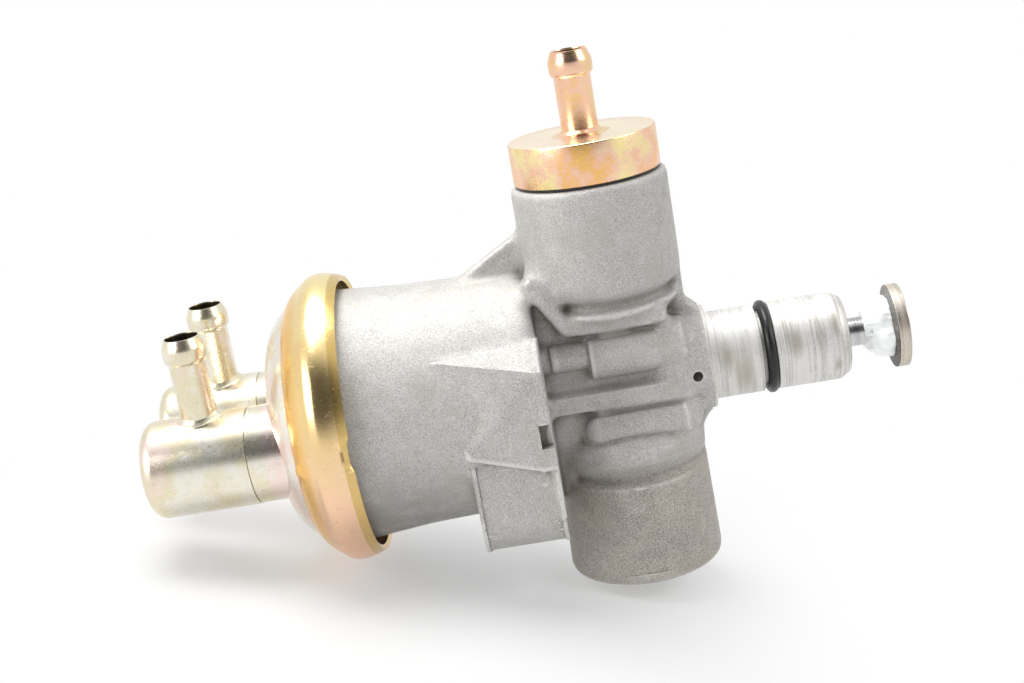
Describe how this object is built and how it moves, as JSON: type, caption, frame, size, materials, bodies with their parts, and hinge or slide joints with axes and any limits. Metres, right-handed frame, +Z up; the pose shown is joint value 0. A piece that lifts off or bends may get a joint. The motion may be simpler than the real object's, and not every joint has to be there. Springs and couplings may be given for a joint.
{
  "type": "fuel pump",
  "caption": "Two-stage engine-driven fuel lift pump: cast aluminium housing with a crimped diaphragm cover, hose nipples, a piston stage and a plug-in nose with a spring-loaded follower.",
  "frame": {"origin": "centre of the seating shoulder at the root of the nose", "axes": "+X out along the nose, +Z up through the top cap, -Y towards the near side with the pad"},
  "size_m": [0.2285, 0.0872, 0.1571],
  "materials": {
    "cast_aluminium": "bead-blasted die casting, fine grain, turned nose",
    "gold_zinc": "yellow zinc plating with an iridescent sheen",
    "pale_zinc": "pale yellow zinc plating",
    "steel": "ground steel",
    "spring_steel": "drawn spring wire",
    "valve_brass": "machined",
    "bush_bronze": "sintered",
    "black_rubber": "moulded",
    "diaphragm_rubber": "fabric-reinforced sheet",
    "valve_rubber": "moulded disc",
    "grease": "soft white assembly grease"
  },
  "bodies": {
    "housing": {"pump_body": "cast_aluminium", "diaphragm_cover": "gold_zinc", "front_valve_can": "pale_zinc", "front_hose_nipple": "pale_zinc", "rear_valve_can": "pale_zinc", "rear_hose_nipple": "pale_zinc", "top_cap": "gold_zinc", "top_hose_nipple": "gold_zinc", "cap_seal": "black_rubber", "diaphragm": "diaphragm_rubber", "pull_rod_seal": "black_rubber", "diaphragm_spring": "spring_steel", "push_rod_seal": "black_rubber", "spring_seat": "steel", "return_spring": "spring_steel", "guide_bush": "bush_bronze", "snap_ring": "spring_steel", "nose_o_ring": "black_rubber", "front_valve_seat": "valve_brass", "front_valve_stem": "steel", "front_valve_spring": "spring_steel", "rear_valve_seat": "valve_brass", "rear_valve_stem": "steel", "rear_valve_spring": "spring_steel", "top_valve_seat": "valve_brass", "top_valve_stem": "steel", "top_valve_spring": "spring_steel", "bottom_valve_seat": "valve_brass", "bottom_valve_stem": "steel", "bottom_valve_spring": "spring_steel"},
    "push_rod_group": {"push_rod": "steel", "follower_disc": "steel", "spring_collar": "steel", "piston": "steel", "piston_ring": "black_rubber", "piston_retainer": "spring_steel", "assembly_grease": "grease"},
    "diaphragm_group": {"pull_rod": "steel", "inner_plate": "steel", "outer_plate": "steel", "pull_rod_nut": "steel"},
    "front_disc": {"front_valve_disc": "valve_rubber"},
    "rear_disc": {"rear_valve_disc": "valve_rubber"},
    "top_disc": {"top_valve_disc": "valve_rubber"},
    "bottom_disc": {"bottom_valve_disc": "valve_rubber"}
  },
  "joints": [
    {"name": "push_rod_slide", "type": "slide", "parent": "housing", "child": "push_rod_group", "axis": [1, 0, 0], "range_m": [-0.006, 0], "stiffness_N_per_m": 1500, "deforming": ["return_spring"]},
    {"name": "diaphragm_slide", "type": "slide", "parent": "housing", "child": "diaphragm_group", "axis": [1, 0, 0], "range_m": [-0.006, 0], "stiffness_N_per_m": 300, "deforming": ["diaphragm_spring", "diaphragm"]},
    {"name": "front_valve_lift", "type": "slide", "parent": "housing", "child": "front_disc", "axis": [-1, 0, 0], "range_m": [0, 0.0012], "stiffness_N_per_m": 60, "deforming": ["front_valve_spring"]},
    {"name": "rear_valve_lift", "type": "slide", "parent": "housing", "child": "rear_disc", "axis": [1, 0, 0], "range_m": [0, 0.0012], "stiffness_N_per_m": 60, "deforming": ["rear_valve_spring"]},
    {"name": "top_valve_lift", "type": "slide", "parent": "housing", "child": "top_disc", "axis": [0, 0, -1], "range_m": [0, 0.0012], "stiffness_N_per_m": 60, "deforming": ["top_valve_spring"]},
    {"name": "bottom_valve_lift", "type": "slide", "parent": "housing", "child": "bottom_disc", "axis": [0, 0, -1], "range_m": [0, 0.0012], "stiffness_N_per_m": 60, "deforming": ["bottom_valve_spring"]}
  ],
  "couplings": [
    {"joint": "diaphragm_slide", "follows": "push_rod_slide", "ratio": 1}
  ]
}
